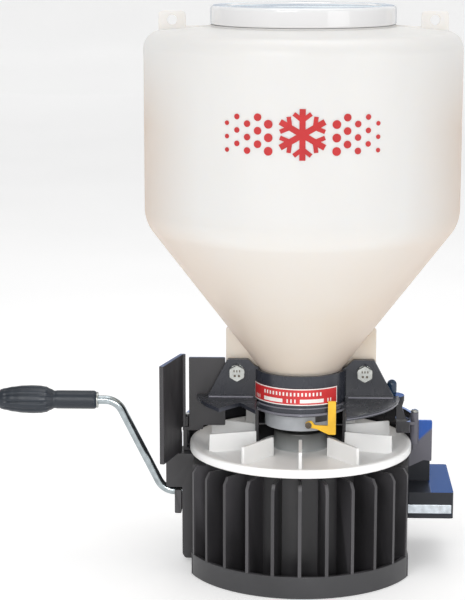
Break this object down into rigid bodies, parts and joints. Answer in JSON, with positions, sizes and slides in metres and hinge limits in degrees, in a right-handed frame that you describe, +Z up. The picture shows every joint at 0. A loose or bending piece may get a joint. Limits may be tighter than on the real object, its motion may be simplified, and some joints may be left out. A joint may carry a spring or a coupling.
{
  "type": "hand-crank salt spreader",
  "caption": "Strap-carried hand-crank spreader: round translucent hopper over a finned black base, with a bladed white spinner disc driven by a side crank.",
  "frame": {"origin": "centre of the base underside, on the spinner axis", "axes": "+Z up along the spinner axis, -Y the throwing side, +Y the wearer side, -X the crank side"},
  "size_m": [0.415, 0.28, 0.507],
  "materials": {
    "hopper": "natural translucent polyethylene",
    "lid": "clear glossy plastic",
    "black": "moulded black plastic, soft sheen",
    "guard": "glossy moulded black plastic",
    "label": "printed label",
    "grey": "moulded grey plastic",
    "pointer": "moulded yellow plastic",
    "spinner": "moulded white plastic",
    "zinc": "zinc plated",
    "steel": "bright steel",
    "crank": "plated round bar",
    "bronze": "sintered bronze",
    "nylon": "moulded nylon",
    "grip": "moulded blue-black plastic",
    "trim": "bright strip"
  },
  "bodies": {
    "base": {"hopper": "hopper", "support_frame": "black", "direction_label": "label", "hopper_bolt_left": "zinc", "hopper_bolt_right": "zinc", "bolt_washer_left": "zinc", "bolt_washer_right": "zinc", "hopper_nut_left": "zinc", "hopper_nut_right": "zinc", "base_housing": "black", "bottom_cover": "black", "cover_screw_1": "zinc", "cover_screw_2": "zinc", "cover_screw_3": "zinc", "cover_screw_4": "zinc", "upper_bush": "bronze", "lower_bush": "bronze", "crank_bush_inner": "bronze", "crank_bush_outer": "bronze", "bearing_plate": "black", "rear_guard": "guard", "guard_screw_left": "zinc", "guard_screw_right": "zinc", "post_screw": "zinc", "side_panel": "black", "hinge_pin": "steel", "side_tray": "guard", "tray_strip": "trim", "belly_plate": "black"},
    "crank": {"crank_rod": "crank", "crank_gear": "nylon", "gear_pin": "steel", "grip_washer": "zinc", "grip_push_nut": "zinc"},
    "grip": {"crank_grip": "grip", "grip_cap": "grip"},
    "spinner": {"spinner_disc": "spinner", "spinner_shaft": "steel", "disc_nut": "zinc", "agitator": "steel", "shaft_clip": "steel", "thrust_washer": "nylon", "spinner_pinion": "nylon", "pinion_pin": "steel"},
    "direction": {"direction_ring": "grey", "direction_shroud": "black", "direction_pointer": "pointer", "pointer_screw": "zinc"},
    "gate": {"flow_gate": "black", "lever_knob": "black"},
    "deflector": {"side_deflector": "black"},
    "lid": {"hopper_lid": "lid"}
  },
  "joints": [
    {"name": "crank_spin", "type": "hinge", "parent": "base", "child": "crank", "pos_m": [-0.1, 0, 0.0656], "axis": [1, 0, 0], "continuous": true},
    {"name": "grip_spin", "type": "hinge", "parent": "crank", "child": "grip", "pos_m": [-0.23, 0, 0.1504], "axis": [1, 0, 0], "continuous": true},
    {"name": "spinner_spin", "type": "hinge", "parent": "base", "child": "spinner", "pos_m": [0, 0, 0.1065], "axis": [0, 0, 1], "continuous": true},
    {"name": "direction_turn", "type": "hinge", "parent": "base", "child": "direction", "pos_m": [0, 0, 0.136], "axis": [0, 0, 1], "range_deg": [-90, 0]},
    {"name": "gate_turn", "type": "hinge", "parent": "base", "child": "gate", "pos_m": [0, 0, 0.15], "axis": [0, 0, 1], "range_deg": [0, 24]},
    {"name": "deflector_swing", "type": "hinge", "parent": "base", "child": "deflector", "pos_m": [-0.104, 0.01, 0.13], "axis": [0, 0, 1], "range_deg": [-22, 6]},
    {"name": "lid_lift", "type": "slide", "parent": "base", "child": "lid", "axis": [0, 0, 1], "range_m": [0, 0.06]}
  ],
  "couplings": [
    {"joint": "spinner_spin", "follows": "crank_spin", "ratio": -3.6}
  ]
}
